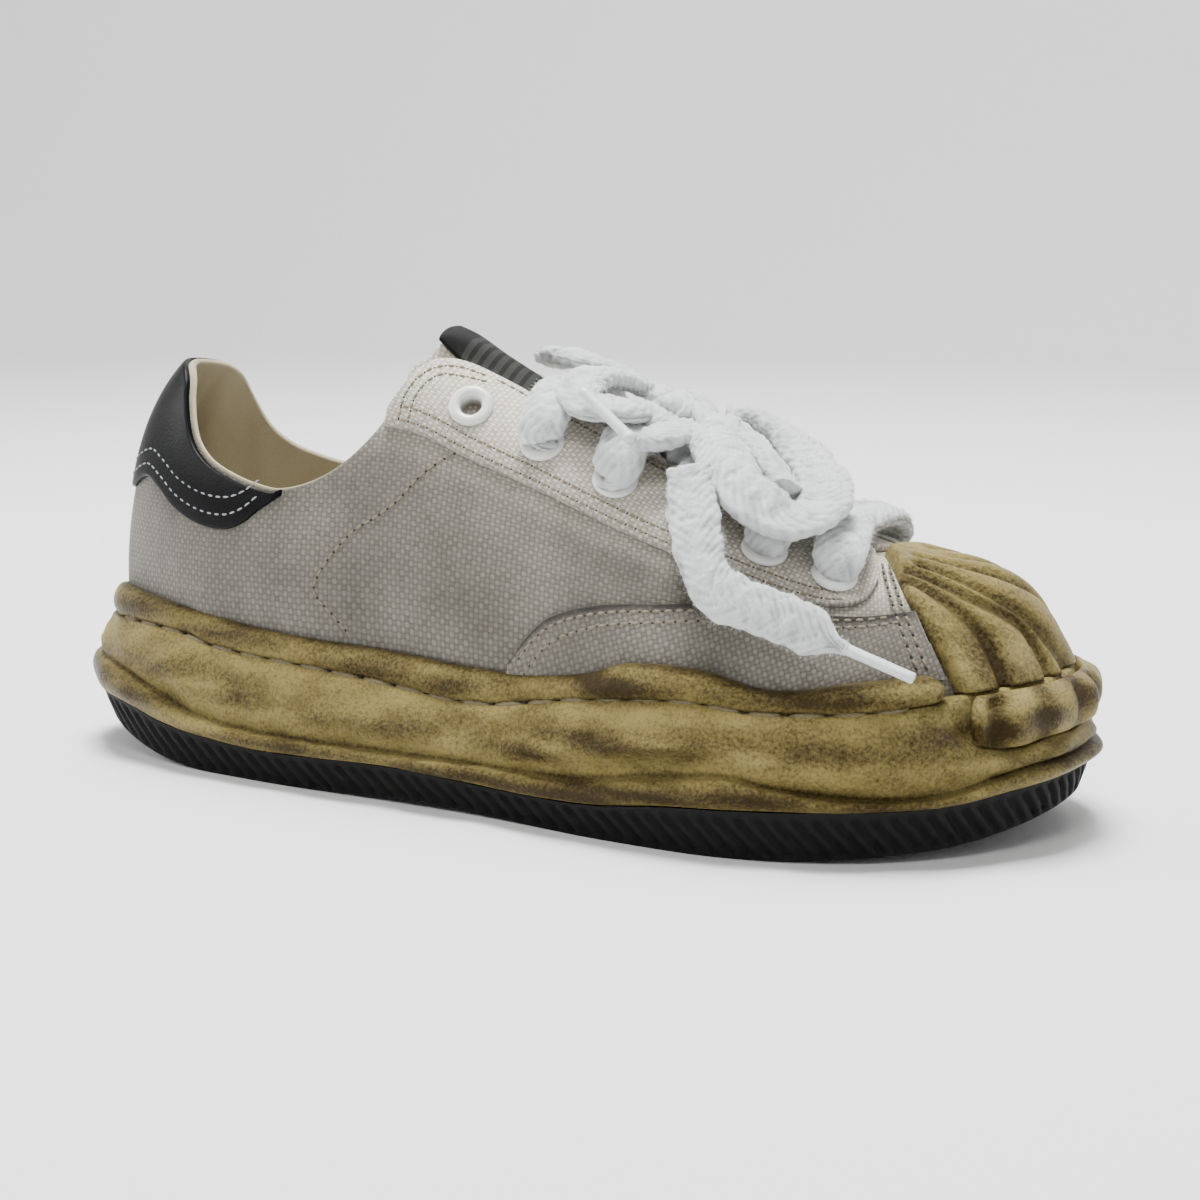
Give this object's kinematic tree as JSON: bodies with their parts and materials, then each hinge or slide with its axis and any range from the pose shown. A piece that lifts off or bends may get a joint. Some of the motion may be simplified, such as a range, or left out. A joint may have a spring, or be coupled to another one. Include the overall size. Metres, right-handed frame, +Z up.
{
  "type": "worn out sneaker",
  "caption": "Low laced canvas shoe with a thick wavy rubber sole, ribbed side, rubber toe cap, black heel tab and bow-tied flat laces, dirty and worn.",
  "frame": {"origin": "on the floor, under the middle of the shoe's bounding box without its free lace", "axes": "+X from heel to toe, +Z up, -Y to the outer (lateral) side of this right shoe"},
  "size_m": [0.3046, 0.1194, 0.1279],
  "materials": {
    "black_rubber": "matt moulded rubber",
    "cream_rubber": "cream rubber with rubbed dark patina",
    "cap_rubber": "cream rubber cap with rubbed dark patina",
    "canvas": "coarse plain weave cotton canvas, dirtied",
    "black_leather": "smooth black leather, soft sheen",
    "woven_label": "grey woven label",
    "lining": "cotton lining",
    "lace": "fluffy flat cotton braid",
    "aglet": "clear plastic sleeve",
    "enamel": "white enamel, chipped"
  },
  "bodies": {
    "root": {"outsole": "black_rubber", "midsole": "cream_rubber", "foxing_band": "cream_rubber", "toe_bumper": "cream_rubber", "toe_cap": "cap_rubber", "upper": "canvas", "eyestay_outer": "canvas", "eyestay_inner": "canvas", "side_patch_outer": "canvas", "side_patch_inner": "canvas", "heel_tab": "black_leather", "tongue": "canvas", "tongue_label": "woven_label", "insole": "lining", "lace_knot": "lace", "lace_strand_far": "lace", "lace_loop_front": "lace", "lace_loop_rear": "lace", "lace_end_near": "lace", "lace_end_far": "lace", "aglet_near": "aglet", "aglet_far": "aglet", "eyelet_outer_1": "enamel", "eyelet_inner_1": "enamel", "eyelet_outer_2": "enamel", "eyelet_inner_2": "enamel", "eyelet_outer_3": "enamel", "eyelet_inner_3": "enamel", "eyelet_outer_4": "enamel", "eyelet_inner_4": "enamel", "eyelet_outer_5": "enamel", "eyelet_inner_5": "enamel", "eyelet_outer_6": "enamel", "eyelet_inner_6": "enamel", "lace_bar_2": "lace", "lace_bar_3": "lace", "lace_bar_4": "lace", "lace_bar_5": "lace", "lace_bar_6": "lace"}
  },
  "joints": []
}
